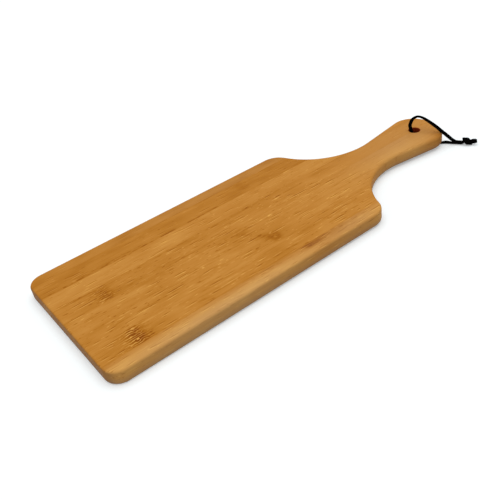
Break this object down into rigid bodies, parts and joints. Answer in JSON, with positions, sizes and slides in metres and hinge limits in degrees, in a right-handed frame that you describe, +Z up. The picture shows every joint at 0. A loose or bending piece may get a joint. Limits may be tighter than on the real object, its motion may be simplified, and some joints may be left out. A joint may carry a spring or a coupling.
{
  "type": "bamboo serving board",
  "caption": "Flat rectangular bamboo board of glued strips for serving food, with a flared paddle handle, a hanging hole and a tied black lace.",
  "frame": {"origin": "under the middle of the board, on the surface that it lies on", "axes": "+X along the board towards the handle, +Y across it, +Z up, away from the surface"},
  "size_m": [0.4104, 0.142, 0.0296],
  "materials": {
    "bamboo_dark": "sanded and oiled, satin",
    "bamboo_medium": "sanded and oiled, satin",
    "bamboo_light": "sanded and oiled, satin",
    "black_lace": "matt suede"
  },
  "bodies": {
    "root": {"bamboo_strip_1": "bamboo_dark", "bamboo_strip_2": "bamboo_dark", "bamboo_strip_3": "bamboo_light", "bamboo_strip_3_handle_edge": "bamboo_light", "bamboo_strip_4": "bamboo_medium", "bamboo_strip_5": "bamboo_medium", "bamboo_strip_6": "bamboo_medium", "bamboo_strip_6_handle_edge": "bamboo_medium", "bamboo_strip_7": "bamboo_medium", "bamboo_strip_8": "bamboo_light", "hanging_lace": "black_lace", "lace_knot": "black_lace", "lace_end_upper": "black_lace", "lace_end_lower": "black_lace"}
  },
  "joints": []
}
